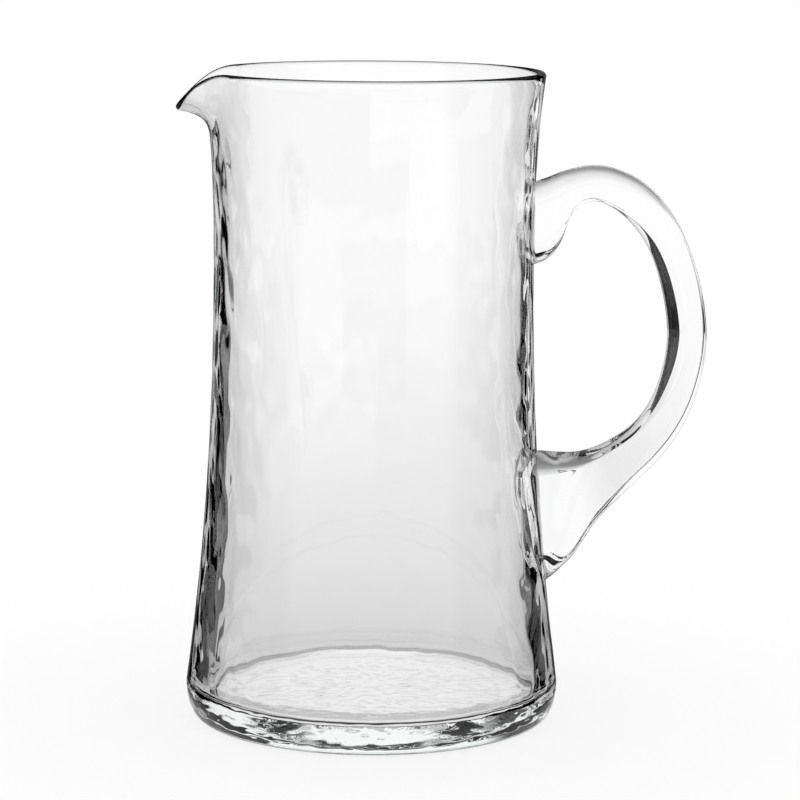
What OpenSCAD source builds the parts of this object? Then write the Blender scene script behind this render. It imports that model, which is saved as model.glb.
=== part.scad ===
// Glass pitcher: a blown vessel with a pulled spout, and an applied handle of solid glass.
// Millimetres, +Z up. The origin is on the vessel's axis, at the level that it stands on.
// The spout points to -X and the handle to +X.

/* [Vessel] */
// Height of the rim above the resting face
height = 250; // [200:1:290]
// Height of the waist above the resting face
waist_h = 180; // [150:1:190]
// Outer radius of the body at its waist
waist_r = 61.4; // [54:0.2:66]
// Outer radius at the rim
rim_r = 65.4; // [62:0.2:70]
// Greatest outer radius, at the top of the heel
heel_r = 72.4; // [68:0.2:80]
// Height at which the heel is widest
heel_h = 13; // [9:0.5:16]
// Radius of the flat that the vessel stands on
foot_r = 67.4; // [60:0.2:67.8]

/* [Glass] */
// Thickness of the upper wall and of the rim
wall = 3.2; // [2.4:0.1:4]
// Thickness of the wall at the level of the resting face
low_wall = 7.6; // [5:0.1:9]
// Thickness of the floor
floor_t = 10.2; // [7:0.2:14]
// Radius of the inner corner between the floor and the wall
corner_r = 3.5; // [2:0.5:8]

/* [Spout] */
// How far the lip reaches beyond the rim
spout_reach = 10.6; // [6:0.2:13]
// How far the rim dips at the lip
spout_drop = 12.6; // [8:0.2:15]
// How far below the rim the wall starts to turn outwards
spout_depth = 28; // [22:1:34]
// Half of the angle that the spout takes out of the rim
spout_angle = 33; // [24:1:38]

/* [Handle] */
// Distance from the vessel's axis to the outermost point of the strap
handle_reach = 128; // [115:1:140]
// How far the top of the arch is below the rim
arch_drop = 35.4; // [28:0.2:44]
// Height of the tip of the lower root above the resting face
handle_low = 53.5; // [40:0.5:62]
// Thickness of the strap, between its outer and inner edges
strap_t = 14.8; // [11:0.2:18]
// Width of the strap at its top
strap_w = 19; // [15:0.5:24]
// Height of the upper root on the wall
upper_root_h = 31.6; // [26:0.2:38]
// Height of the lower root on the wall
lower_root_h = 52; // [44:0.5:58]
// Width of the lower root
lower_root_w = 43; // [34:1:50]

/* [Hidden] */

// How much thinner the spout's glass is on each face, so that its edges lie inside the wall
seat = 0.04;
// Overrun of the cutting shapes
over = 6;
// How fast the body flares from the waist, downwards and upwards
low_flare_power = 2.1;
high_flare_power = 2.5;
// How fast the wall thickens towards the floor
thicken_power = 1.25;
// How the spout leaves the wall: outwards late, downwards early
reach_power = 3;
drop_power = 1.6;
// How the reach and the dip of the lip fall off to both sides: powers of a cosine
reach_side_power = 1.8;
drop_side_power = 2.9;
// How far the spout's glass runs into the wall, as shares of its rise and of its angle
below_share = 0.06;
beside_share = 0.04;
// How much the lower root narrows towards its tip
taper_share = 0.55;
// Numbers of points and of facets
round_sides = 144;
wall_steps = 40;
arc_steps = 8;
rim_steps = 6;
spout_steps = 28;
lip_steps = 16;
strap_sides = 28;
strap_spans = 4;

// Outer radius of the body at a height above its heel
function outer_r(z) = z < waist_h
    ? waist_r + (heel_r - waist_r) * pow((waist_h - z) / (waist_h - heel_h), low_flare_power)
    : waist_r + (rim_r - waist_r) * pow((z - waist_h) / (height - waist_h), high_flare_power);

// Thickness of the wall at a height, and the radius of its inside
function wall_at(z) = wall + (low_wall - wall) * pow(1 - z / height, thicken_power);
function inner_r(z) = outer_r(z) - wall_at(z);

// The rounded heel, from the resting flat to the widest point: a quarter of an ellipse
heel_points = [for (i = [0:arc_steps])
    let (a = 90 * i / arc_steps)
    [foot_r + (heel_r - foot_r) * sin(a), heel_h * (1 - cos(a))]];

// The flaring outside of the wall, up to where the rim starts to round over
rim_z = height - wall / 2;
outer_points = [for (i = [1:wall_steps])
    let (z = heel_h + (rim_z - heel_h) * i / wall_steps)
    [outer_r(z), z]];

// The rounded rim: half a circle as wide as the wall
rim_mid_r = outer_r(rim_z) - wall / 2;
rim_points = [for (i = [1:rim_steps - 1])
    let (a = 180 * i / rim_steps)
    [rim_mid_r + wall / 2 * cos(a), rim_z + wall / 2 * sin(a)]];

// The inside of the wall, down to the rounded corner
corner_z = floor_t + corner_r;
inner_points = [for (i = [0:wall_steps - 1])
    let (z = rim_z + (corner_z - rim_z) * i / wall_steps)
    [inner_r(z), z]];

// The inner corner: a quarter of a circle from the wall to the floor
corner_points = [for (i = [0:arc_steps])
    let (a = 90 * i / arc_steps)
    [inner_r(corner_z) - corner_r + corner_r * cos(a), corner_z - corner_r * sin(a)]];

// Triangles that close one loop, laid in a strip from its first point to its middle one
function strip_faces(first, sides, turned) =
    [for (s = [0:floor((sides - 1) / 2) - 1])
        let (a = first + s, b = a + 1, d = first + sides - 1 - s, c = d - 1)
        each concat(
            [turned ? [b, a, d] : [a, b, d]],
            b == c ? [] : [turned ? [b, d, c] : [d, b, c]])];

// Triangles between loops of equal length, and over the two end loops
function loft_faces(loops, sides) = concat(
    [for (r = [0:loops - 2], s = [0:sides - 1])
        let (a = r * sides + s, b = r * sides + (s + 1) % sides)
        each [[a, b, b + sides], [a, b + sides, a + sides]]],
    strip_faces(0, sides, true),
    strip_faces((loops - 1) * sides, sides, false));

// A closed skin through a list of loops
module loft(loops) {
    polyhedron(
        points = [for (loop = loops) each loop],
        faces = loft_faces(len(loops), len(loops[0])),
        convexity = 6);
}

// Height in the plain wall: rise goes from 0 at the foot of the spout to 1 at the rim
function spout_z(rise) =
    let (foot_z = height - spout_depth)
    foot_z + (rim_z - foot_z) * rise;

// How much of the spout's full shape is there at an angle from its middle
function spout_share(a, power) =
    abs(a) < spout_angle ? pow(cos(90 * a / spout_angle), power) : 0;

// Middle of the spout's glass, as radius and height, at an angle from the spout's middle. The
// wall is pushed outwards and sinks as it rises.
function spout_mid(a, rise) =
    let (
        z = spout_z(rise),
        up = max(rise, 0),
        out = spout_share(a, reach_side_power) * pow(up, reach_power),
        down = spout_share(a, drop_side_power) * pow(up, drop_power))
    [outer_r(z) - wall_at(z) / 2 + spout_reach * out, z - spout_drop * down];

// Half of the thickness of the spout's glass
function spout_half(rise) = wall_at(spout_z(rise)) / 2 - seat;

// Direction across the spout's glass, pointing out of the vessel
function spout_across(a, rise) =
    let (
        near_share = 0.01,
        step = spout_mid(a, rise + near_share) - spout_mid(a, rise - near_share))
    [step.y, -step.x] / norm(step);

// One section of the spout's glass: up its outer face, round the lip, down its inner face
function spout_section(a) =
    let (
        rises = [for (i = [0:lip_steps]) (1 + below_share) * i / lip_steps - below_share],
        back = [for (i = [lip_steps:-1:0]) rises[i]],
        out = spout_across(a, 1),
        up = [-out.y, out.x])
    concat(
        [for (t = rises) spout_mid(a, t) + spout_half(t) * spout_across(a, t)],
        [for (i = [1:rim_steps - 1])
            let (w = 180 * i / rim_steps)
            spout_mid(a, 1) + spout_half(1) * (cos(w) * out + sin(w) * up)],
        [for (t = back) spout_mid(a, t) - spout_half(t) * spout_across(a, t)]);

// The spout's glass, as wide as its window in the wall and a little more
module spout_glass() {
    wide = spout_angle * (1 + beside_share);
    loft([for (i = [0:spout_steps])
        let (a = wide - 2 * wide * i / spout_steps)
        [for (p = spout_section(a)) [-p.x * cos(a), p.x * sin(a), p.y]]]);
}

// The sector of the wall that the spout takes the place of
module spout_window() {
    far = heel_r + over;
    translate([0, 0, height - spout_depth])
        linear_extrude(height = spout_depth + over)
            polygon([
                [0, 0],
                [-far * cos(spout_angle), -far * sin(spout_angle)],
                [-far, 0],
                [-far * cos(spout_angle), far * sin(spout_angle)]]);
}

// The blown vessel: floor, wall, rim and spout are one piece of glass
module vessel() {
    color("aliceblue") {
        difference() {
            rotate_extrude($fn = round_sides)
                polygon(concat(
                    [[0, 0]], heel_points, outer_points, rim_points,
                    inner_points, corner_points, [[0, floor_t]]));
            spout_window();
        }
        spout_glass();
    }
}

// Places along the middle of the strap, from the upper root to the lower one. Their columns:
// share of the way out from the waist to the strap's furthest middle, share of the way up
// from the lower tip to the top of the arch, lean of the cross-section in degrees, share of
// the upper root's height, share of the lower root's height, share of the lower root's width,
// squareness of the edge that faces the fingers and of the outer edge, 2 for a plain oval.
strap_shares = [
    [-0.045, 0.857, 90, 1, 0, 0.06, 3, 2.6],
    [0.08, 0.873, 91, 0.97, 0, 0.04, 3, 2.6],
    [0.194, 0.904, 85, 0.76, 0, 0.02, 3, 2.4],
    [0.304, 0.945, 68, 0.25, 0, 0, 6, 2.2],
    [0.45, 0.955, 54, 0, 0, 0, 6, 2.2],
    [0.632, 0.923, 45, 0, 0, 0, 5, 2.4],
    [0.793, 0.860, 40, 0, 0, 0, 3, 4],
    [0.895, 0.786, 31, 0, 0, 0, 2.4, 6],
    [0.97, 0.692, 14, 0, 0, 0.01, 2.2, 6],
    [1, 0.596, 0, 0, 0, 0.02, 2.1, 6],
    [0.97, 0.506, -8, 0, 0, 0.04, 2.2, 6],
    [0.888, 0.417, -18, 0, 0, 0.06, 3, 6],
    [0.75, 0.340, -37, 0, 0, 0.1, 6, 6],
    [0.56, 0.279, -59, 0, 0.07, 0.2, 6, 6],
    [0.38, 0.228, -76, 0, 0.3, 0.42, 5, 4],
    [0.216, 0.178, -84, 0, 0.7, 0.72, 4, 4],
    [0.09, 0.152, -87, 0, 0.94, 1, 4, 3],
    [-0.035, 0.142, -89, 0, 1, 1, 4, 3]];

// A smooth curve through the places: part t of the way from place b to place c
function smooth(a, b, c, d, t) =
    b + t / 2 * (c - a + t * (2 * a - 5 * b + 4 * c - d + t * (3 * b - a - 3 * c + d)));
function strap_place(i) = strap_shares[min(max(i, 0), len(strap_shares) - 1)];
strap_path_shares = concat(
    [for (i = [0:len(strap_shares) - 2], j = [0:strap_spans - 1])
        smooth(strap_place(i - 1), strap_place(i), strap_place(i + 1), strap_place(i + 2),
            j / strap_spans)],
    [strap_place(len(strap_shares) - 1)]);

// One loop round the strap at a place: a soft-cornered oval with its own squareness at each
// edge, drawn in towards the tip of the lower root
function strap_loop(place) =
    let (
        out = handle_reach - strap_t / 2 - waist_r,
        rise = height - arch_drop - handle_low,
        mid = [waist_r + out * place[0], handle_low + rise * place[1]],
        thick = strap_t + (upper_root_h - strap_t) * place[3]
            + (lower_root_h - strap_t) * place[4],
        wide = strap_w + (lower_root_w - strap_w) * place[5])
    [for (i = [0:strap_sides - 1])
        let (
            a = 360 * (i + 0.5) / strap_sides,
            power = 2 / max(cos(a) < 0 ? place[6] : place[7], 2),
            u = sign(cos(a)) * pow(abs(cos(a)), power),
            v = sign(sin(a)) * pow(abs(sin(a)), power),
            drawn = 1 - taper_share * max(place[4], 0) * (1 + u) / 2,
            p = mid + u * thick / 2 * [cos(place[2]), sin(place[2])])
        [p.x, v * drawn * wide / 2, p.y]];

// The body of the vessel without its hollow, which the strap is cut to
module body_outside() {
    rotate_extrude($fn = round_sides)
        polygon(concat([[0, 0]], heel_points, outer_points, [[0, rim_z]]));
}

// The applied handle: a solid strap, pressed on the wall at both ends
module handle() {
    color("lightcyan")
        difference() {
            loft([for (place = strap_path_shares) strap_loop(place)]);
            body_outside();
        }
}

vessel();
handle();
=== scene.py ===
"""A hand-blown glass pitcher: a waisted vessel with a pulled spout, and an applied strap handle.

Metres, +Z up, in the frame's own axes: the origin is on the vessel's axis at the level that it
stands on, the spout points to -X and the handle to +X.
"""

import bpy
import numpy as np
from mathutils import Matrix, Vector


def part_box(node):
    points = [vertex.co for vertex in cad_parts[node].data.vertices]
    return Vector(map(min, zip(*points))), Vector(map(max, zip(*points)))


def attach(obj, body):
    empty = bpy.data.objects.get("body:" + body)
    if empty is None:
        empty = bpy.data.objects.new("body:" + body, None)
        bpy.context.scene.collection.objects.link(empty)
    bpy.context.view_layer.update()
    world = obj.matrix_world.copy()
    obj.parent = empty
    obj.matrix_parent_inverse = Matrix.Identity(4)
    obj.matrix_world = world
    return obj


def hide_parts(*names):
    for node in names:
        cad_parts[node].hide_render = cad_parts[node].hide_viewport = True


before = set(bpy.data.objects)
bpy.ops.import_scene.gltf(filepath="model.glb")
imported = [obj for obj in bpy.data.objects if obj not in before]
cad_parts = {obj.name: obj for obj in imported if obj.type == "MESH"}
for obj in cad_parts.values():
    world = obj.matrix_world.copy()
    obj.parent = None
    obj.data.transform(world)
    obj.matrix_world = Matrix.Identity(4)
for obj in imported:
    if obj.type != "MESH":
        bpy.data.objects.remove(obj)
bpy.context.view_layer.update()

MM = 0.001

# Sizes that the frame gives
vessel_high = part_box("vessel")[1]
handle_low, handle_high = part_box("handle")
HEIGHT = vessel_high[2]
HEEL_R = vessel_high[1]
HANDLE_REACH = handle_high[0]
HANDLE_TOP = handle_high[2]
HANDLE_FOOT = handle_low[2]

# Sizes of the vessel, as in the solid
WAIST_H = 180 * MM
WAIST_R = 61.4 * MM
RIM_R = 65.4 * MM
HEEL_H = 13 * MM
FOOT_R = 67.4 * MM
WALL = 3.2 * MM
LOW_WALL = 7.6 * MM
FLOOR_T = 10.2 * MM
CORNER_R = 3.5 * MM
SPOUT_REACH = 10.6 * MM
SPOUT_DROP = 12.6 * MM
SPOUT_DEPTH = 28 * MM
SPOUT_ANGLE = np.radians(33)
LOW_FLARE, HIGH_FLARE = 2.1, 2.5
THICKEN_POWER = 1.25
REACH_POWER, DROP_POWER = 3, 1.6
REACH_SIDE_POWER, DROP_SIDE_POWER = 1.8, 2.9
RIM_Z = HEIGHT - WALL / 2
SPOUT_FOOT_Z = HEIGHT - SPOUT_DEPTH

# Counts of the vessel's grid: columns round it, and rows on each stretch of its section
COLUMNS = 316
ROWS = {"foot": 44, "heel": 30, "outside": 104, "rim": 10, "inside": 84, "corner": 10, "floor": 30}
# The power that puts the outside's rows closer together low down, where the glass is thick, and
# the radius of the floor's last ring, as a share of the floor's
CLOSER_DOWN = 1.3
LAST_RING = 1 / (4 * ROWS["floor"])
# The step of the rise over which the spout's slope is taken
RISE_STEP = 0.01


def outer_r(z):
    """Outer radius at a height: the waist's radius plus a power of the distance from it."""
    low = (HEEL_R - WAIST_R) * np.clip((WAIST_H - z) / (WAIST_H - HEEL_H), 0, None) ** LOW_FLARE
    high = (RIM_R - WAIST_R) * np.clip((z - WAIST_H) / (HEIGHT - WAIST_H), 0, None) ** HIGH_FLARE
    return WAIST_R + low + high


def wall_at(z):
    """Thickness of the wall: it grows with a power of the distance below the rim."""
    return WALL + (LOW_WALL - WALL) * np.clip(1 - z / HEIGHT, 0, None) ** THICKEN_POWER


def section():
    """The vessel's plain section as radius, height, distance along it and stretch names.

    It runs from the middle of the underside out along the foot, round the heel (a quarter of
    an ellipse), up the outside, over the rim (half a circle), down the inside, round the
    inner corner (a quarter of a circle) and in along the floor almost to its middle.
    """
    corner_z = FLOOR_T + CORNER_R
    inner_low_r = outer_r(corner_z) - wall_at(corner_z)
    rim_mid_r = outer_r(RIM_Z) - WALL / 2

    def steps(name):
        return (np.arange(ROWS[name]) + 1) / ROWS[name]

    parts = {}
    t = steps("foot")
    parts["foot"] = (FOOT_R * t, 0 * t)
    a = np.pi / 2 * steps("heel")
    parts["heel"] = (FOOT_R + (HEEL_R - FOOT_R) * np.sin(a), HEEL_H * (1 - np.cos(a)))
    z = HEEL_H + (RIM_Z - HEEL_H) * steps("outside") ** CLOSER_DOWN
    parts["outside"] = (outer_r(z), z)
    a = np.pi * steps("rim")
    parts["rim"] = (rim_mid_r + WALL / 2 * np.cos(a), RIM_Z + WALL / 2 * np.sin(a))
    z = RIM_Z + (corner_z - RIM_Z) * steps("inside")
    parts["inside"] = (outer_r(z) - wall_at(z), z)
    a = np.pi / 2 * steps("corner")
    parts["corner"] = (inner_low_r - CORNER_R * (1 - np.cos(a)), corner_z - CORNER_R * np.sin(a))
    t = steps("floor")
    parts["floor"] = ((inner_low_r - CORNER_R) * (1 - t * (1 - LAST_RING)), FLOOR_T + 0 * t)
    r = np.concatenate([parts[name][0] for name in ROWS])
    z = np.concatenate([parts[name][1] for name in ROWS])
    names = np.concatenate([[name] * ROWS[name] for name in ROWS])
    along = np.concatenate([[0], np.cumsum(np.hypot(np.diff(r), np.diff(z)))])
    return r, z, along, names


def spout_share(angle, power):
    """How much of the spout is there: a power of a cosine across its angle, round the -X side."""
    away = np.abs(np.angle(np.exp(1j * (angle - np.pi))))
    inside = np.clip(np.cos(np.pi / 2 * away / SPOUT_ANGLE), 0, None)
    return np.where(away < SPOUT_ANGLE, inside ** power, 0)


def spout_mid(angle, rise):
    """Middle of the glass, as radius and height: pushed out by a power of the rise from the
    spout's foot to the rim, and sunk by a lower power of it."""
    z = SPOUT_FOOT_Z + (RIM_Z - SPOUT_FOOT_Z) * rise
    up = np.clip(rise, 0, None)
    out = SPOUT_REACH * spout_share(angle, REACH_SIDE_POWER) * up ** REACH_POWER
    down = SPOUT_DROP * spout_share(angle, DROP_SIDE_POWER) * up ** DROP_POWER
    return outer_r(z) - wall_at(z) / 2 + out, z - down


def spout_across(angle, rise):
    """Unit direction across the glass, out of the vessel, from a short step along its middle."""
    r1, z1 = spout_mid(angle, rise - RISE_STEP)
    r2, z2 = spout_mid(angle, rise + RISE_STEP)
    length = np.hypot(r2 - r1, z2 - z1)
    return (z2 - z1) / length, -(r2 - r1) / length


# Fields of ripples in the blown glass: height, count of waves, size round the axis in radians,
# size the other way, and seed. The floor's rings wobble by radians of their own turn.
OUTER_RIPPLES = (0.04 * MM, 70, 0.24, 24 * MM, 11)
GRIP_RIPPLES = (0.014 * MM, 60, 0.09, 9 * MM, 13)
HEEL_RIPPLES = (0.022 * MM, 80, 0.13, 3.2 * MM, 15)
INNER_RIPPLES = (0.04 * MM, 70, 0.22, 28 * MM, 21)
FINE_INNER_RIPPLES = (0.007 * MM, 60, 0.09, 10 * MM, 22)
RING_WOBBLE = (1.4, 24, 1.6, 30 * MM, 31)
# Fields over a plane: height, count of waves, size and seed
FLOOR_RIPPLES = (0.008 * MM, 40, 14 * MM, 32)
FOOT_RIPPLES = (0.022 * MM, 60, 6.5 * MM, 41)
# How widely the waves of a field differ: the standard deviation of their turns per size
WAVE_SPREAD = 0.75
# The rings turned in the floor: height, spacing, and how far they wind out in one turn
RING_HEIGHT = 0.013 * MM
RING_SPACING = 6.5 * MM
RING_WINDING = 1.6 * MM
# Where the fields fade in and out. The two sides of the wall and the part by the grip are told by
# a cosine round the axis, and the front and the back keep a share of their ripples.
SIDES = (0.55, 0.85)
FRONT_RIPPLES = 0.35
BY_GRIP = (0.8, 0.96)
GRIP_HEIGHTS = (104 * MM, 116 * MM, 168 * MM, 180 * MM)
HEEL_HEIGHTS = (0.3 * MM, 3 * MM, 16 * MM, 24 * MM)
WALL_FROM = (4 * MM, 22 * MM)
RIM_CALM = (1 * MM, 18 * MM)
RINGS_FROM = (1 * MM, 12 * MM)
CORNER_SHARE = 0.8


def waves(u, v, height, count, u_size, v_size, seed):
    """A field of soft random dimples: a sum of cosines whose wave lengths lie round u_size and
    v_size, and whose spread is the height. u is an angle, and whole numbers of waves go round."""
    rng = np.random.default_rng(seed)
    total = np.zeros(np.broadcast(u, v).shape)
    round_count = 2 * np.pi / u_size
    for _ in range(count):
        around = np.round(round_count * rng.normal(0, WAVE_SPREAD))
        rise = 2 * np.pi / v_size * rng.normal(0, WAVE_SPREAD)
        total += np.cos(around * u + rise * v + rng.uniform(0, 2 * np.pi))
    return height * total * np.sqrt(2 / count)


def plane_waves(x, y, height, count, size, seed):
    """The same kind of field over a plane, with wave lengths round one size in all directions."""
    rng = np.random.default_rng(seed)
    total = np.zeros(np.broadcast(x, y).shape)
    for _ in range(count):
        along, across = 2 * np.pi / size * rng.normal(0, WAVE_SPREAD, 2)
        total += np.cos(along * x + across * y + rng.uniform(0, 2 * np.pi))
    return height * total * np.sqrt(2 / count)


def fade(x, low, high):
    """A soft step from 0 at low to 1 at high."""
    t = np.clip((x - low) / (high - low), 0, 1)
    return t * t * (3 - 2 * t)


def band(x, rise_low, rise_high, fall_low, fall_high):
    """A soft step up to 1 and, further on, a soft step back down to 0."""
    return fade(x, rise_low, rise_high) * (1 - fade(x, fall_low, fall_high))


def wave_lift(angle, r, z, names):
    """How far each point is moved out of the glass, by the stretch of the section it is on.

    The wall has a field on each face, the outside a finer one behind the grip, the heel a
    dense one, and the floor has winding rings that wobble. The foot is only waved into the
    glass, so that it still stands on its flat, and the rim is left plain.
    """
    sides = FRONT_RIPPLES + (1 - FRONT_RIPPLES) * fade(np.abs(np.cos(angle)), *SIDES)
    by_grip = fade(np.cos(angle), *BY_GRIP) * band(z, *GRIP_HEIGHTS)
    outside = sides * waves(angle, z, *OUTER_RIPPLES) + by_grip * waves(angle, z, *GRIP_RIPPLES)
    heel = waves(angle, z, *HEEL_RIPPLES) * band(z, *HEEL_HEIGHTS)
    outside = outside * fade(z, *WALL_FROM) + heel
    inside = sides * (waves(angle, z, *INNER_RIPPLES) + waves(angle, z, *FINE_INNER_RIPPLES))
    calm = fade(HEIGHT - z, *RIM_CALM)
    turns = (r + RING_WINDING * angle / (2 * np.pi)) / RING_SPACING
    rings = np.sin(2 * np.pi * turns + waves(angle, r, *RING_WOBBLE))
    x, y = r * np.cos(angle), r * np.sin(angle)
    floor = RING_HEIGHT * rings * fade(r, *RINGS_FROM) + plane_waves(x, y, *FLOOR_RIPPLES)
    foot = -np.abs(plane_waves(x, y, *FOOT_RIPPLES))
    lifts = {"outside": outside * calm, "inside": inside * calm, "corner": CORNER_SHARE * inside,
             "floor": floor, "foot": foot, "heel": outside}
    return np.select([names == name for name in lifts], list(lifts.values()), 0.0)


def vessel_grid():
    """Rows of the section by columns round the axis.

    The plain section is carried round, the glass near the rim on the -X side is moved with
    the spout's middle, and each face is waved along its own normal.
    """
    r0, z0, along, names = section()
    angle = 2 * np.pi * np.arange(COLUMNS) / COLUMNS
    across, elsewhere = angle[None, :], 0 * angle[None, :]

    # The side of the glass that each row is on: 1 outside, -1 inside, between them on the rim
    side = np.select([names == "outside", names == "inside"], [1.0, -1.0], 0.0)[:, None]
    turn = np.where(names == "rim", np.arctan2(z0 - RIM_Z, r0 - (RIM_R - WALL / 2)), 0)
    on_rim = (names == "rim")[:, None]
    rise = np.minimum((z0 - SPOUT_FOOT_Z) / (RIM_Z - SPOUT_FOOT_Z), 1)[:, None]
    out_r, out_z = spout_across(across, rise)
    plain_r, plain_z = spout_across(elsewhere, rise)
    mid_r, mid_z = spout_mid(across, rise)
    from_r, from_z = spout_mid(elsewhere, rise)
    along_r = np.where(on_rim, np.cos(turn)[:, None], side)
    up_r = np.where(on_rim, np.sin(turn)[:, None], 0)
    half = wall_at(z0)[:, None] / 2
    in_spout = (rise > 0) & np.isin(names, ["outside", "rim", "inside"])[:, None]
    shift_r = mid_r - from_r + half * (along_r * (out_r - plain_r) - up_r * (out_z - plain_z))
    shift_z = mid_z - from_z + half * (along_r * (out_z - plain_z) + up_r * (out_r - plain_r))
    r = r0[:, None] + np.where(in_spout, shift_r, 0)
    z = z0[:, None] + np.where(in_spout, shift_z, 0)

    # Waves along the plain section's normal
    slope_r = np.gradient(r0, along)[:, None]
    slope_z = np.gradient(z0, along)[:, None]
    length = np.hypot(slope_r, slope_z)
    lift = wave_lift(angle[None, :], r0[:, None], z0[:, None], names[:, None])
    r = r + lift * slope_z / length
    z = z - lift * slope_r / length
    return np.stack([r * np.cos(angle), r * np.sin(angle), z], axis=-1)


def skin(name, grid, pole_low, pole_high):
    """A closed mesh from rows of points that each go round, with end rows fanned to poles."""
    rows, columns = grid.shape[:2]
    first = np.arange(rows - 1)[:, None] * columns
    here = np.arange(columns)[None, :]
    after = (here + 1) % columns
    quads = np.stack([first + here, first + after, first + columns + after,
                      first + columns + here], axis=-1).reshape(-1, 4)
    points = grid.reshape(-1, 3)
    last = (rows - 1) * columns
    ring, ring_after = here[0], after[0]
    low, high = len(points), len(points) + 1
    points = np.vstack([points, pole_low, pole_high])
    fans = np.vstack([
        np.stack([ring_after, ring, np.full(columns, low)], axis=-1),
        np.stack([last + ring, last + ring_after, np.full(columns, high)], axis=-1)])
    mesh = bpy.data.meshes.new(name)
    mesh.from_pydata(points.tolist(), [], quads.tolist() + fans.tolist())
    mesh.polygons.foreach_set("use_smooth", np.ones(len(mesh.polygons), dtype=bool))
    mesh.update()
    piece = bpy.data.objects.new(name, mesh)
    bpy.context.scene.collection.objects.link(piece)
    return piece


# Sizes of the strap
STRAP_T = 14.8 * MM
STRAP_W = 19 * MM
UPPER_ROOT_H = 31.6 * MM
LOWER_ROOT_H = 52 * MM
LOWER_ROOT_W = 43 * MM
# How far the strap's ends reach into the wall, as fused glass does
BITE = 0.8 * MM
# How much narrower the lower root is at its foot, as a share
TAPER = 0.55

# Places along the middle of the strap, from the upper root to the lower one: shares of the
# way out and of the way up, lean of the cross-section in degrees, shares of the upper root's
# height, of the lower root's height and of the lower root's width
STRAP_SHARES = np.array([
    [-0.045, 0.857, 90, 1, 0, 0.06],
    [0.08, 0.873, 91, 0.97, 0, 0.04],
    [0.194, 0.904, 85, 0.76, 0, 0.02],
    [0.304, 0.945, 68, 0.25, 0, 0],
    [0.45, 0.955, 54, 0, 0, 0],
    [0.632, 0.923, 45, 0, 0, 0],
    [0.793, 0.860, 40, 0, 0, 0],
    [0.895, 0.786, 31, 0, 0, 0],
    [0.97, 0.692, 14, 0, 0, 0.01],
    [1, 0.596, 0, 0, 0, 0.02],
    [0.97, 0.506, -8, 0, 0, 0.04],
    [0.888, 0.417, -18, 0, 0, 0.06],
    [0.75, 0.340, -37, 0, 0, 0.1],
    [0.56, 0.279, -59, 0, 0.07, 0.2],
    [0.38, 0.228, -76, 0, 0.3, 0.42],
    [0.216, 0.178, -84, 0, 0.7, 0.72],
    [0.09, 0.152, -87, 0, 0.94, 1],
    [-0.035, 0.142, -89, 0, 1, 1]])
# How the sides close at the inner and the outer edge at the same places: the share of the half
# thickness that each closing takes, and its power, where 1 starts like a wedge, 2 is round and 3
# starts softer
EDGE_SHARES = np.array([
    [0.55, 2, 0.70, 3],
    [0.55, 2, 0.70, 3],
    [0.50, 2, 0.80, 3],
    [0.07, 2, 1.10, 3],
    [0.07, 2, 1.10, 3],
    [0.20, 2, 0.80, 3],
    [0.58, 2, 0.25, 2.5],
    [0.85, 2, 0.12, 2],
    [0.95, 2, 0.12, 2],
    [0.98, 2, 0.12, 2],
    [0.95, 2, 0.12, 2],
    [0.50, 2, 0.12, 2],
    [0.14, 2, 0.12, 2],
    [0.10, 2, 0.10, 2],
    [0.18, 2, 0.18, 1.4],
    [0.20, 2, 0.12, 1.6],
    [0.22, 2, 0.50, 0.8],
    [0.22, 2, 0.50, 0.8]])
# Steps between two places of the strap, points round it, and the power, below 1, that brings
# those points closer together at its two edges
STRAP_STEPS = 14
STRAP_SIDES = 120
CLOSER_AT_EDGES = 0.6


def smooth_path(places, steps):
    """A smooth curve through rows of numbers, each span a cubic through its four neighbours."""
    padded = np.vstack([places[0], places, places[-1]])
    a, b, c, d = padded[:-3], padded[1:-2], padded[2:-1], padded[3:]
    t = (np.arange(steps) / steps)[None, :, None]
    a, b, c, d = (x[:, None, :] for x in (a, b, c, d))
    curve = b + t / 2 * (c - a + t * (2 * a - 5 * b + 4 * c - d + t * (3 * b - a - 3 * c + d)))
    return np.vstack([curve.reshape(-1, places.shape[1]), places[-1]])


def strap_section(count):
    """Places round the strap: how far along its thickness, from -1 to 1 by a power of a cosine,
    and on which side."""
    a = 2 * np.pi * (np.arange(count) + 0.5) / count
    u = np.sign(np.cos(a)) * np.abs(np.cos(a)) ** CLOSER_AT_EDGES
    return u, -np.sign(np.sin(a))


def closing(u, edges):
    """Share of the half width that is left at u: the sides are flat in the middle, and each
    edge is closed by a curve of its own size and power."""
    left = np.ones((len(edges), len(u)))
    for size, power, side in ((edges[:, :1], edges[:, 1:2], -u), (edges[:, 2:3], edges[:, 3:], u)):
        t = np.clip((side[None, :] - 1 + size) / size, 0, 1)
        left = left * np.sqrt(1 - t ** power)
    return left


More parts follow.
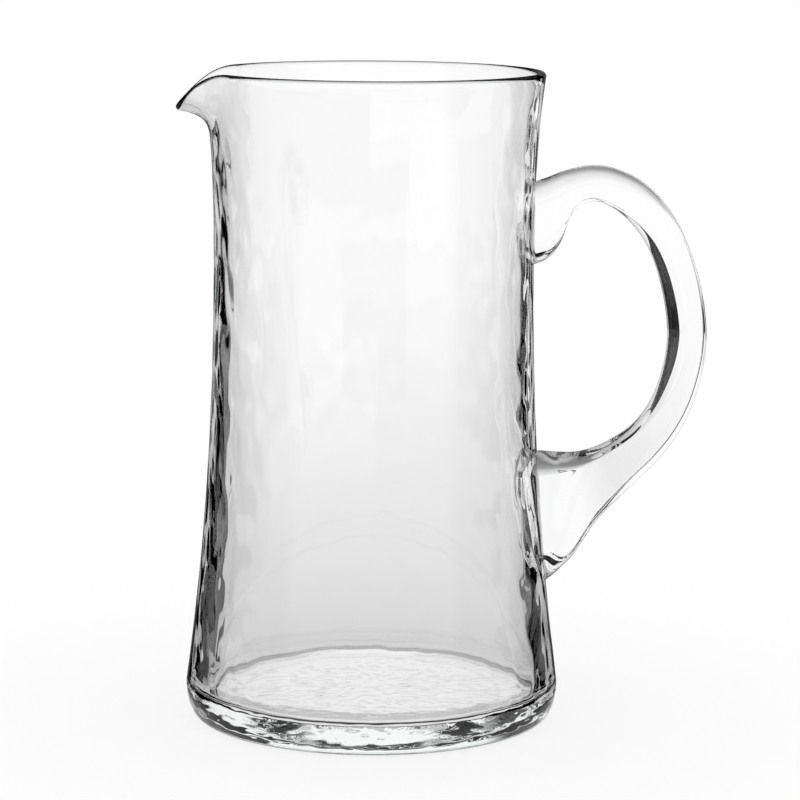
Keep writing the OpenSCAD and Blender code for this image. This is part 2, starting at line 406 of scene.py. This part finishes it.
def handle_grid():
    """Loops of the strap's cross-section carried along its path and leaned as the places say.

    Each point is the path's middle, plus its share of the half thickness along the lean, plus
    its side times what the closing and the taper leave of the half width.
    """
    places = smooth_path(STRAP_SHARES, STRAP_STEPS)
    out = HANDLE_REACH - STRAP_T / 2 - WAIST_R
    rise = HANDLE_TOP - HANDLE_FOOT
    mid = np.stack([WAIST_R + out * places[:, 0], 0 * places[:, 0],
                    HANDLE_FOOT + rise * places[:, 1]], axis=-1)
    lean = np.radians(places[:, 2])
    lower = np.clip(places[:, 4], 0, 1)
    thick = STRAP_T + (UPPER_ROOT_H - STRAP_T) * places[:, 3] + (LOWER_ROOT_H - STRAP_T) * lower
    wide = STRAP_W + (LOWER_ROOT_W - STRAP_W) * places[:, 5]
    u, v = strap_section(STRAP_SIDES)
    drawn = 1 - TAPER * lower[:, None] * (1 + u[None, :]) / 2
    across = np.stack([np.cos(lean), 0 * lean, np.sin(lean)], axis=-1)
    grid = mid[:, None, :] + across[:, None, :] * (u[None, :] * thick[:, None] / 2)[..., None]
    left = closing(u, smooth_path(EDGE_SHARES, STRAP_STEPS))
    grid[..., 1] += v[None, :] * left * drawn * wide[:, None] / 2
    # Nothing of the strap reaches further into the wall than its bite
    least_x = np.sqrt(np.clip((outer_r(grid[..., 2]) - BITE) ** 2 - grid[..., 1] ** 2, 0, None))
    grid[..., 0] = np.maximum(grid[..., 0], least_x)
    return grid


def new_material(name):
    """An empty node material with its output node."""
    material = bpy.data.materials.new(name)
    material.use_nodes = True
    material.node_tree.nodes.clear()
    output = material.node_tree.nodes.new("ShaderNodeOutputMaterial")
    return material, material.node_tree, output


def feed(tree, socket, value):
    """Put a number on a socket, or link another node's output to it."""
    if isinstance(value, (int, float)):
        socket.default_value = value
    else:
        tree.links.new(value, socket)


def math(tree, operation, *values):
    """A Math node of numbers or sockets. Returns its output."""
    node = tree.nodes.new("ShaderNodeMath")
    node.operation = operation
    for socket, value in zip(node.inputs, values):
        feed(tree, socket, value)
    return node.outputs[0]


def mix(tree, share, first, second):
    """A Mix node of two numbers or sockets: first at a share of 0, second at a share of 1."""
    node = tree.nodes.new("ShaderNodeMix")
    for name, value in (("Factor", share), ("A", first), ("B", second)):
        feed(tree, node.inputs[name], value)
    return node.outputs["Result"]


def blend(tree, share, first, second):
    """A Mix Shader node: the first shader at a share of 0, the second at a share of 1."""
    node = tree.nodes.new("ShaderNodeMixShader")
    for socket, value in zip(node.inputs, (share, first, second)):
        feed(tree, socket, value)
    return node.outputs[0]


def soft_step(tree, value, low, high, to_low=0.0, to_high=1.0):
    """A Map Range node that goes softly from to_low at low to to_high at high."""
    node = tree.nodes.new("ShaderNodeMapRange")
    node.interpolation_type = "SMOOTHSTEP"
    node.inputs["From Min"].default_value = low
    node.inputs["From Max"].default_value = high
    node.inputs["To Min"].default_value = to_low
    node.inputs["To Max"].default_value = to_high
    tree.links.new(value, node.inputs["Value"])
    return node.outputs[0]


def soft_band(tree, value, limits):
    """0, then softly up to 1 between the first two limits and back to 0 between the last two."""
    return math(tree, "MULTIPLY", soft_step(tree, value, limits[0], limits[1]),
                soft_step(tree, value, limits[2], limits[3], 1.0, 0.0))


def glow(tree, strength):
    """An Emission node in white, at a strength that is a number or a socket."""
    node = tree.nodes.new("ShaderNodeEmission")
    feed(tree, node.inputs["Strength"], strength)
    return node.outputs[0]


def seen_by_glass(tree):
    """1 for the rays that a clear surface reflects or lets through, and 0 for all others."""
    path = tree.nodes.new("ShaderNodeLightPath")
    return math(tree, "MAXIMUM", path.outputs["Is Glossy Ray"], path.outputs["Is Transmission Ray"])


# Clear soda glass: its index, its slight grey-green colour and how fast that builds up per metre
GLASS_INDEX = 1.5
GLASS_TINT = (0.86, 0.90, 0.90, 1)
TINT_DENSITY = 3.0
# The fine cords drawn in the glass: their scale upwards, which draws them out, their detail, and
# their size and height in each piece
CORD_STRETCH = 0.35
CORD_DETAIL = 1.5
VESSEL_CORDS = (9 * MM, 0.003 * MM)
HANDLE_CORDS = (14 * MM, 0.004 * MM)


def clear_glass(name, cord_size, cord_height):
    """Clear soda glass: smooth, slightly absorbing, with fine cords drawn in its surface."""
    material, tree, output = new_material(name)
    glass = tree.nodes.new("ShaderNodeBsdfPrincipled")
    glass.inputs["Base Color"].default_value = (1, 1, 1, 1)
    glass.inputs["Roughness"].default_value = 0.0
    glass.inputs["IOR"].default_value = GLASS_INDEX
    glass.inputs["Transmission Weight"].default_value = 1.0
    place = tree.nodes.new("ShaderNodeTexCoord")
    mapping = tree.nodes.new("ShaderNodeMapping")
    mapping.inputs["Scale"].default_value = (1, 1, CORD_STRETCH)
    noise = tree.nodes.new("ShaderNodeTexNoise")
    noise.inputs["Scale"].default_value = 1 / cord_size
    noise.inputs["Detail"].default_value = CORD_DETAIL
    bump = tree.nodes.new("ShaderNodeBump")
    bump.inputs["Strength"].default_value = 1.0
    bump.inputs["Distance"].default_value = cord_height
    tree.links.new(place.outputs["Object"], mapping.inputs["Vector"])
    tree.links.new(mapping.outputs["Vector"], noise.inputs["Vector"])
    tree.links.new(noise.outputs["Fac"], bump.inputs["Height"])
    tree.links.new(bump.outputs["Normal"], glass.inputs["Normal"])
    tint = tree.nodes.new("ShaderNodeVolumeAbsorption")
    tint.inputs["Color"].default_value = GLASS_TINT
    tint.inputs["Density"].default_value = TINT_DENSITY
    tree.links.new(glass.outputs["BSDF"], output.inputs["Surface"])
    tree.links.new(tint.outputs["Volume"], output.inputs["Volume"])
    return material


# The dark places of the studio, in degrees: turned to the left from straight behind the pitcher,
# or above the horizon. Two limits are a soft edge, and four are a band with two soft edges.
# Thin gaps on the left, and their top, below the horizon
THIN_GAP = (17.9, 18.2, 19.2, 19.5)
SIDE_GAP = (62.4, 63.2, 69.2, 69.8)
THIN_TOP = (-6.0, -4.0)
# A wide gap on the right, counted to the right, which leans outwards below a height by a share
# of each degree, and the foot of all these gaps
RIGHT_GAP = (22.6, 23.2, 66.0, 72.0)
RIGHT_TOP = (15.5, 17.0)
LEAN_BELOW = -8.0
LEAN = 0.85
GAP_FOOT = (-40.0, -34.0)
# A dark panel on the left
LEFT_PANEL = (26.0, 37.0, 55.0, 60.0)
LEFT_PANEL_HEIGHTS = (-16.0, -14.0, 22.0, 24.0)
# A low dark band in which only a sweep behind the pitcher and one at the front right are white,
# narrow above and wide below. The quarter at the back right has no such band.
SWEEP_BAND = (-21.0, -18.0, -9.3, -8.5)
SWEEP_SIDE = (19.5, 20.5)
LOW_SWEEP = (-14.4, -13.9)
LOW_SWEEP_SIDE = (46.5, 48.0)
BACK_RIGHT = (-75.0, -74.0, -1.0, 0.0)
# A dark ceiling in the middle, and two dark strips on each side of it
CEILING = (15.2, 16.2, 23.0, 29.0)
CEILING_SIDE = (10.0, 16.0)
LOW_STRIP = (14.6, 15.2, 17.2, 18.0)
HIGH_STRIP = (19.4, 20.4, 22.5, 24.5)
STRIPS_LEFT = (10.0, 16.0, 34.0, 44.0)
STRIPS_RIGHT = (10.0, 16.0, 26.0, 34.0)
# Steeply below, the floor fades to grey
FLOOR_FADE = (-58.0, -28.0)
FLOOR_GREY = 0.4
# The light of a dark place, and of the low dark band where the front half begins
DARK = 0.002
FRONT_DARK = 0.3
FRONT_HALF = (90.0, 105.0)


def studio_group():
    """What the glass sees round it, by direction: white all round, with narrow and wide dark
    gaps, a dark panel, a low dark band with white sweeps, a dark ceiling with strips beside it,
    and a floor that goes grey. The constants above say where each of them is."""
    tree = bpy.data.node_groups.new("studio", "ShaderNodeTree")
    tree.interface.new_socket("Direction", in_out="INPUT", socket_type="NodeSocketVector")
    tree.interface.new_socket("Light", in_out="OUTPUT", socket_type="NodeSocketFloat")
    enter = tree.nodes.new("NodeGroupInput")
    leave = tree.nodes.new("NodeGroupOutput")
    unit = tree.nodes.new("ShaderNodeVectorMath")
    unit.operation = "NORMALIZE"
    tree.links.new(enter.outputs["Direction"], unit.inputs[0])
    parts = tree.nodes.new("ShaderNodeSeparateXYZ")
    tree.links.new(unit.outputs[0], parts.inputs[0])
    x, y, z = (parts.outputs[axis] for axis in "XYZ")
    turned = math(tree, "MULTIPLY", math(tree, "ARCTAN2", x, y), -np.degrees(1.0))
    to_right = math(tree, "MULTIPLY", turned, -1.0)
    azimuth = math(tree, "ABSOLUTE", turned)

    def both(first, second):
        return math(tree, "MULTIPLY", first, second)

    def either(first, second):
        return math(tree, "MAXIMUM", first, second)

    def height_step(limits, to_low, to_high):
        low, high = np.sin(np.radians(limits))
        return soft_step(tree, z, low, high, to_low, to_high)

    def height_band(limits):
        return soft_band(tree, z, np.sin(np.radians(limits)))

    # The gaps and the panel
    height = both(math(tree, "ARCSINE", z), np.degrees(1.0))
    below = math(tree, "MAXIMUM", math(tree, "SUBTRACT", LEAN_BELOW, height), 0.0)
    leaned = math(tree, "SUBTRACT", to_right, both(below, LEAN))
    thin = either(soft_band(tree, turned, THIN_GAP), soft_band(tree, turned, SIDE_GAP))
    wide = both(soft_band(tree, leaned, RIGHT_GAP), height_step(RIGHT_TOP, 1.0, 0.0))
    gaps = either(both(thin, height_step(THIN_TOP, 1.0, 0.0)), wide)
    gaps = both(gaps, height_step(GAP_FOOT, 0.0, 1.0))
    panel = both(soft_band(tree, turned, LEFT_PANEL), height_band(LEFT_PANEL_HEIGHTS))
    above = mix(tree, either(gaps, panel), 1.0, DARK)

    # The sweeps, by the cosine from straight behind or from halfway between +X and -Y
    flat = math(tree, "SQRT", math(tree, "SUBTRACT", 1.0, both(z, z)))
    front_right = both(math(tree, "SUBTRACT", x, y), np.sqrt(0.5))
    facing = math(tree, "DIVIDE", either(y, front_right), flat)
    beside = soft_step(tree, azimuth, FRONT_HALF[0], FRONT_HALF[1], DARK, FRONT_DARK)

    def sweep(limits):
        inner, outer = np.cos(np.radians(limits))
        return mix(tree, soft_step(tree, facing, outer, inner), beside, 1.0)

    sweeps = mix(tree, height_step(LOW_SWEEP, 1.0, 0.0), sweep(SWEEP_SIDE), sweep(LOW_SWEEP_SIDE))
    elsewhere = math(tree, "SUBTRACT", 1.0, soft_band(tree, turned, BACK_RIGHT))
    light = mix(tree, both(height_band(SWEEP_BAND), elsewhere), above, sweeps)
    light = both(light, height_step(FLOOR_FADE, FLOOR_GREY, 1.0))

    # The ceiling and its strips
    middle = both(height_band(CEILING),
                  soft_step(tree, azimuth, CEILING_SIDE[0], CEILING_SIDE[1], 1.0, 0.0))
    at_sides = either(soft_band(tree, turned, STRIPS_LEFT), soft_band(tree, to_right, STRIPS_RIGHT))
    strips = both(either(height_band(LOW_STRIP), height_band(HIGH_STRIP)), at_sides)
    light = mix(tree, either(middle, strips), light, DARK)
    tree.links.new(light, leave.inputs["Light"])
    return tree


# What is left of the studio's light in a reflection, by how far back its direction points: from
# the front, the sides and the back, with the soft edges between them
FRONT_GLOSS, SIDE_GLOSS, BACK_GLOSS = 0.8, 0.03, 0.12
FRONT_EDGE = (-0.65, -0.45)
BACK_EDGE = (0.0, 0.3)


def set_world(studio):
    """White to the camera, plain white light on matt things, and the studio in the glass, dimmed
    where the glass reflects it."""
    world = bpy.data.worlds.new("studio_light")
    bpy.context.scene.world = world
    world.use_nodes = True
    tree = world.node_tree
    tree.nodes.clear()
    place = tree.nodes.new("ShaderNodeTexCoord")
    group = tree.nodes.new("ShaderNodeGroup")
    group.node_tree = studio
    tree.links.new(place.outputs["Generated"], group.inputs["Direction"])
    path = tree.nodes.new("ShaderNodeLightPath")
    parts = tree.nodes.new("ShaderNodeSeparateXYZ")
    tree.links.new(place.outputs["Generated"], parts.inputs[0])
    back = parts.outputs["Y"]
    gloss = soft_step(tree, back, FRONT_EDGE[0], FRONT_EDGE[1], FRONT_GLOSS, SIDE_GLOSS)
    gloss = mix(tree, soft_step(tree, back, BACK_EDGE[0], BACK_EDGE[1]), gloss, BACK_GLOSS)
    dimmed = math(tree, "MULTIPLY", group.outputs["Light"], gloss)
    strength = mix(tree, path.outputs["Is Glossy Ray"], 1.0, dimmed)
    strength = mix(tree, path.outputs["Is Transmission Ray"], strength, group.outputs["Light"])
    light = tree.nodes.new("ShaderNodeBackground")
    light.inputs["Color"].default_value = (1, 1, 1, 1)
    tree.links.new(strength, light.inputs["Strength"])
    output = tree.nodes.new("ShaderNodeOutputWorld")
    tree.links.new(light.outputs[0], output.inputs["Surface"])


# The table: its radius, its sides, how far it is under the base, and its colour
TABLE_R = 1100 * MM
TABLE_SIDES = 96
TABLE_GAP = 0.4 * MM
TABLE_COLOUR = (0.9, 0.9, 0.9, 1)
# How much of the table is plain glow to the camera, close by and past the shadow
SHADOW_SEEN = (80 * MM, 300 * MM)
NEAR_GLOW, FAR_GLOW = 0.8, 1.0
# The table as the glass sees it, by the distance from the axis: mostly glow, pale within the
# base and a little darker outside it as painted shade, with a painted shadow ring under the heel,
# less dark at the back, and a faint painted shade ring under the floor's edge
PALE_SHARE = 0.95
TABLE_PALE, OUTER_SHADE = 0.81, 0.62
HEEL_SHADOW_RING = (62 * MM, 63.5 * MM, 67.5 * MM, 69 * MM)
FRONT_SHADE, BACK_SHADE = 0.03, 0.3
TO_BACK = (0.0, 20 * MM)
FLOOR_SHADE_RING = (49 * MM, 50 * MM, 51 * MM, 52 * MM)
FLOOR_RING_SHADE = 0.7
# Past this edge the glass sees the studio through the table, dimmed by a power of the distance
# as painted shade round the foot, up to where it is plain
TABLE_EDGE = (76 * MM, 92 * MM)
TABLE_PLAIN = 900 * MM
PALING_POWER = 0.22


def table_material():
    """A white table: bright to the camera but for the shadow, which fades out with distance.
    The glass sees it pale close by, with painted shadow rings under the heel and the floor's edge,
    and the studio past an edge, dimmed by painted shade near the foot."""
    material, tree, output = new_material("white_table")
    diffuse = tree.nodes.new("ShaderNodeBsdfDiffuse")
    diffuse.inputs["Color"].default_value = TABLE_COLOUR
    matt = diffuse.outputs[0]
    place = tree.nodes.new("ShaderNodeTexCoord")
    distance = tree.nodes.new("ShaderNodeVectorMath")
    distance.operation = "LENGTH"
    tree.links.new(place.outputs["Object"], distance.inputs[0])
    away = distance.outputs["Value"]
    parts = tree.nodes.new("ShaderNodeSeparateXYZ")
    tree.links.new(place.outputs["Object"], parts.inputs[0])
    # Painted shadow ring under the heel: dark at the front, less dark at the back
    heel = soft_step(tree, parts.outputs["Y"], TO_BACK[0], TO_BACK[1], FRONT_SHADE, BACK_SHADE)
    # Painted shade outside the base: the table a little darker there than within it
    pale = soft_step(tree, away, HEEL_SHADOW_RING[2], HEEL_SHADOW_RING[3], TABLE_PALE, OUTER_SHADE)
    # Painted faint shade ring under the floor's edge
    pale = mix(tree, soft_band(tree, away, FLOOR_SHADE_RING), pale, FLOOR_RING_SHADE)
    pale = mix(tree, soft_band(tree, away, HEEL_SHADOW_RING), pale, heel)
    near = blend(tree, PALE_SHARE, matt, glow(tree, pale))
    clear = tree.nodes.new("ShaderNodeBsdfTransparent")
    # Painted shade round the foot: the studio seen through the table is greyer near the foot
    paling = math(tree, "POWER", math(tree, "DIVIDE", away, TABLE_PLAIN), PALING_POWER)
    tree.links.new(math(tree, "MINIMUM", paling, 1.0), clear.inputs["Color"])
    past_edge = soft_step(tree, away, TABLE_EDGE[0], TABLE_EDGE[1])
    to_glass = blend(tree, past_edge, near, clear.outputs[0])
    white = soft_step(tree, away, SHADOW_SEEN[0], SHADOW_SEEN[1], NEAR_GLOW, FAR_GLOW)
    to_camera = blend(tree, white, matt, glow(tree, 1.0))
    path = tree.nodes.new("ShaderNodeLightPath")
    surface = blend(tree, seen_by_glass(tree), matt, to_glass)
    surface = blend(tree, path.outputs["Is Camera Ray"], surface, to_camera)
    tree.links.new(surface, output.inputs["Surface"])
    return material


def add_table():
    """A flat round table top just under the base."""
    bpy.ops.mesh.primitive_circle_add(vertices=TABLE_SIDES, radius=TABLE_R, fill_type="NGON",
                                      location=(0, 0, 0))
    table = bpy.context.active_object
    table.name = "table"
    table.data.transform(Matrix.Translation((0, 0, -TABLE_GAP)))
    table.data.materials.append(table_material())


# The reflector: how far back it stands, and the left, the right and the height of its foot and top
REFLECTOR_BACK = 120 * MM
REFLECTOR_FOOT = (145 * MM, 152 * MM, 83 * MM)
REFLECTOR_TOP = (132 * MM, 152 * MM, 245 * MM)


def add_reflector():
    """A narrow white card that stands upright behind the handle, and which only the glass sees."""
    corners = []
    for left, right, height in (REFLECTOR_FOOT, REFLECTOR_TOP):
        corners += [(left, REFLECTOR_BACK, height), (right, REFLECTOR_BACK, height)]
    mesh = bpy.data.meshes.new("reflector")
    mesh.from_pydata(corners, [], [(0, 1, 3, 2)])
    card = bpy.data.objects.new("reflector", mesh)
    bpy.context.scene.collection.objects.link(card)
    material, tree, output = new_material("reflector")
    clear = tree.nodes.new("ShaderNodeBsdfTransparent")
    surface = blend(tree, seen_by_glass(tree), clear.outputs[0], glow(tree, 1.0))
    tree.links.new(surface, output.inputs["Surface"])
    card.data.materials.append(material)


# The camera, from the fit of the rim, the silhouette and the base to the photograph, which is
# PHOTO_PX wide: its place, the height that it looks at, its focal length in the photograph's
# pixels, the width of its sensor in millimetres, and its tilt
CAMERA_BACK = 1240 * MM
CAMERA_UP = 327 * MM
CAMERA_ASIDE = 10.4 * MM
AIM_UP = 123 * MM
FOCAL_PX = 3250
PHOTO_PX = 800
SENSOR = 36.0
ROLL = np.radians(0.4)


def add_camera():
    """A long lens in front of the pitcher, a little above its rim, aimed at its middle."""
    data = bpy.data.cameras.new("camera")
    data.sensor_width = SENSOR
    data.lens = SENSOR * FOCAL_PX / PHOTO_PX
    camera = bpy.data.objects.new("camera", data)
    bpy.context.scene.collection.objects.link(camera)
    place = Vector((CAMERA_ASIDE, -CAMERA_BACK, CAMERA_UP))
    aim = Vector((CAMERA_ASIDE, 0, AIM_UP))
    turn = (aim - place).to_track_quat("-Z", "Y").to_matrix() @ Matrix.Rotation(ROLL, 3, "Z")
    camera.matrix_world = Matrix.Translation(place) @ turn.to_4x4()
    bpy.context.scene.camera = camera


add_camera()
bpy.context.scene.view_settings.view_transform = "Standard"
set_world(studio_group())
add_table()
add_reflector()

grid = vessel_grid()
vessel = skin("blown_vessel", grid, (0, 0, 0), (0, 0, float(grid[-1, :, 2].mean())))
vessel.data.materials.append(clear_glass("vessel_glass", *VESSEL_CORDS))
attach(vessel, "root")
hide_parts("vessel")

grid = handle_grid()
handle = skin("strap_handle", grid, grid[0].mean(axis=0), grid[-1].mean(axis=0))
handle.data.materials.append(clear_glass("handle_glass", *HANDLE_CORDS))
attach(handle, "root")
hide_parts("handle")
